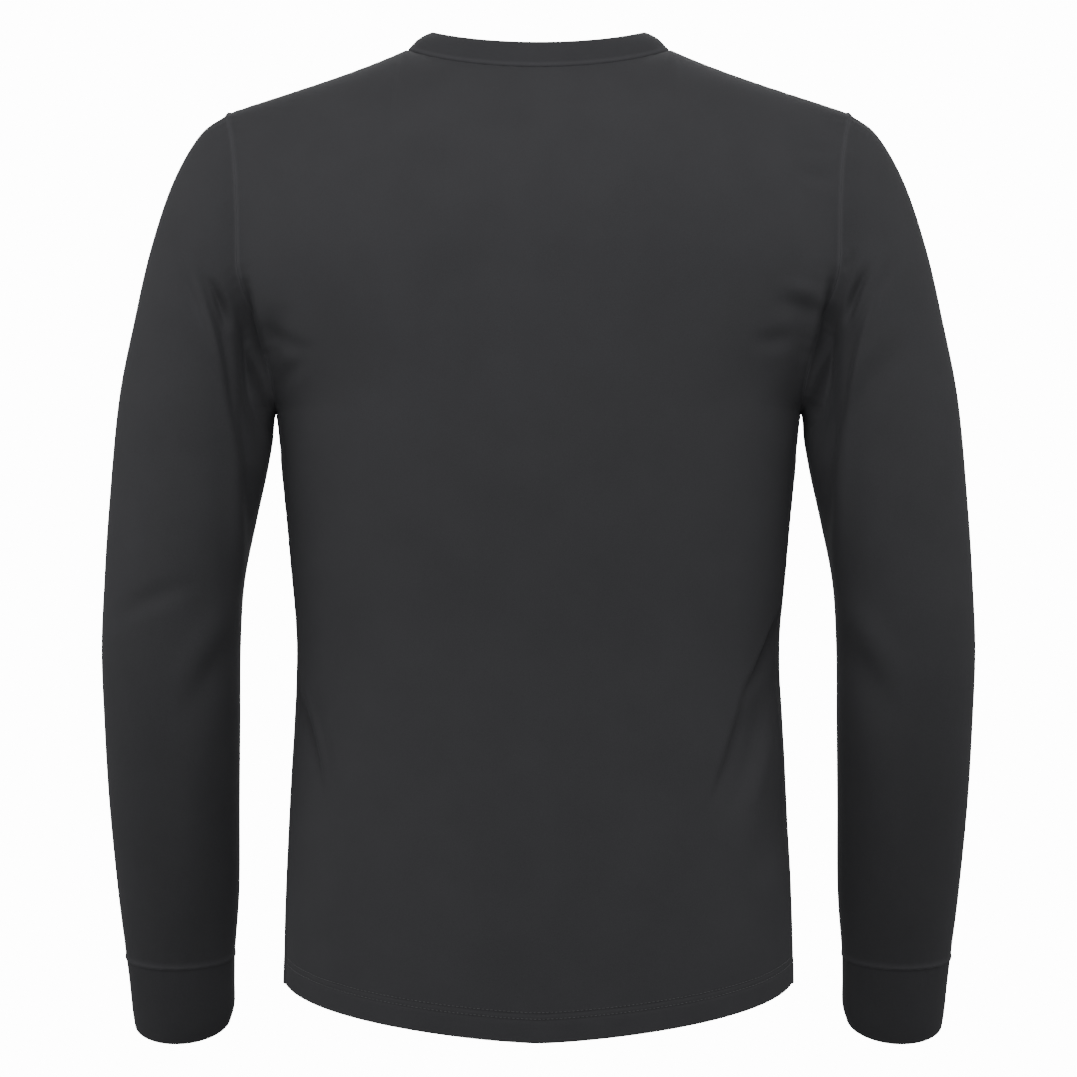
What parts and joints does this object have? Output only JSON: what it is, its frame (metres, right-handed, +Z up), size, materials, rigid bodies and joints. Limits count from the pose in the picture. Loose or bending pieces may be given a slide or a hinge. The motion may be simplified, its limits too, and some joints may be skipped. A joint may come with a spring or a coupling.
{
  "type": "base layer top",
  "caption": "Long-sleeved crew-neck base layer top in plain dark jersey, hollow and filled out as worn, with doubled cuffs, a neckband and a curved hem.",
  "frame": {"origin": "midway between the neck ends of the two shoulder seams, where the wearer's shoulders carry the top", "axes": "+Z up towards the neck opening, +Y out of the back, +X towards the wearer's left sleeve"},
  "size_m": [0.6286, 0.2414, 0.7334],
  "materials": {
    "jersey": "fine single jersey, matt, dark charcoal",
    "double_jersey": "the same jersey folded double, matt, dark charcoal"
  },
  "bodies": {
    "root": {"back": "jersey", "front": "jersey", "left_sleeve": "jersey", "right_sleeve": "jersey", "left_cuff": "double_jersey", "right_cuff": "double_jersey", "neckband": "double_jersey"}
  },
  "joints": []
}
